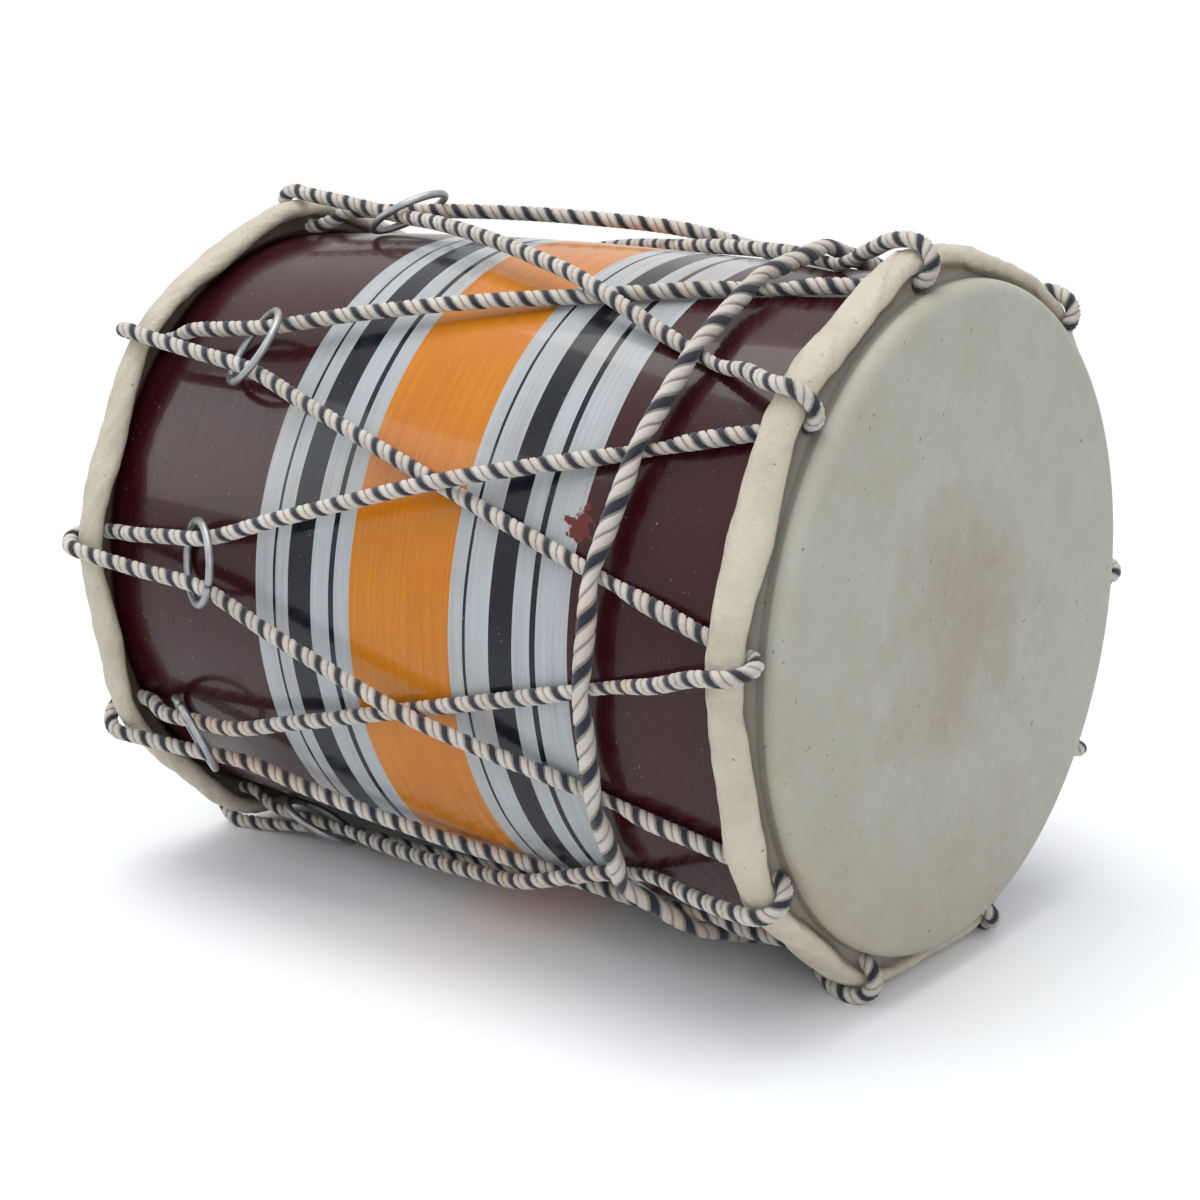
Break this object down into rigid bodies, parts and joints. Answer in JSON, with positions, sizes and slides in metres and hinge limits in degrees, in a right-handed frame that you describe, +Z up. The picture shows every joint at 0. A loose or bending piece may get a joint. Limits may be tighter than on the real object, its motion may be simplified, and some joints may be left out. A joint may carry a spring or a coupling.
{
  "type": "dholak",
  "caption": "Rope-tuned two-headed barrel drum laid on its side, with painted bands, laced rawhide heads on hoops, a girth rope and sliding tuning rings.",
  "frame": {"origin": "middle of the outline's footprint, on the surface that the drum lies on", "axes": "+X along the drum toward its bass head (its axis falls 1.2 degrees toward the treble head), +Y toward the side away from the camera, +Z up"},
  "size_m": [0.3256, 0.2808, 0.2714],
  "materials": {
    "lacquered_wood": "maroon gloss lacquer with pale grey, black and orange bands; bare inside",
    "rawhide": "stiff rawhide, matt",
    "cane": "bare split cane",
    "paste": "matt dark cake",
    "cotton_rope": "three-strand cotton with one dark strand",
    "galvanised_wire": "dull galvanised wire"
  },
  "bodies": {
    "drum": {"shell": "lacquered_wood", "bass_skin": "rawhide", "treble_skin": "rawhide", "bass_hoop": "cane", "treble_hoop": "cane", "tuning_paste": "paste", "lacing_rope": "cotton_rope", "girth_rope": "cotton_rope"},
    "tuning_ring_1": {"tuning_ring_1": "galvanised_wire"},
    "tuning_ring_2": {"tuning_ring_2": "galvanised_wire"},
    "tuning_ring_3": {"tuning_ring_3": "galvanised_wire"},
    "tuning_ring_4": {"tuning_ring_4": "galvanised_wire"},
    "tuning_ring_5": {"tuning_ring_5": "galvanised_wire"},
    "tuning_ring_6": {"tuning_ring_6": "galvanised_wire"},
    "tuning_ring_7": {"tuning_ring_7": "galvanised_wire"},
    "tuning_ring_8": {"tuning_ring_8": "galvanised_wire"},
    "tuning_ring_9": {"tuning_ring_9": "galvanised_wire"}
  },
  "joints": [
    {"name": "tuning_ring_1_slide", "type": "slide", "parent": "drum", "child": "tuning_ring_1", "axis": [-0.9971, 0, -0.0758], "range_m": [-0.002, 0.018]},
    {"name": "tuning_ring_2_slide", "type": "slide", "parent": "drum", "child": "tuning_ring_2", "axis": [-0.9975, 0.04, -0.0584], "range_m": [0, 0.02]},
    {"name": "tuning_ring_3_slide", "type": "slide", "parent": "drum", "child": "tuning_ring_3", "axis": [-0.9982, 0.0544, -0.0259], "range_m": [0, 0.02]},
    {"name": "tuning_ring_4_slide", "type": "slide", "parent": "drum", "child": "tuning_ring_4", "axis": [-0.9989, 0.0473, 0.0061], "range_m": [-0.02, 0]},
    {"name": "tuning_ring_5_slide", "type": "slide", "parent": "drum", "child": "tuning_ring_5", "axis": [-0.9994, 0.0204, 0.0295], "range_m": [-0.015, 0.001]},
    {"name": "tuning_ring_6_slide", "type": "slide", "parent": "drum", "child": "tuning_ring_6", "axis": [-0.9994, -0.0179, 0.0304], "range_m": [-0.004, 0.012]},
    {"name": "tuning_ring_7_slide", "type": "slide", "parent": "drum", "child": "tuning_ring_7", "axis": [-0.9989, -0.0448, 0.0102], "range_m": [0, 0.02]},
    {"name": "tuning_ring_8_slide", "type": "slide", "parent": "drum", "child": "tuning_ring_8", "axis": [-0.9982, -0.0544, -0.0259], "range_m": [-0.008, 0.012]},
    {"name": "tuning_ring_9_slide", "type": "slide", "parent": "drum", "child": "tuning_ring_9", "axis": [-0.9974, -0.0373, -0.0611], "range_m": [-0.003, 0.017]}
  ]
}
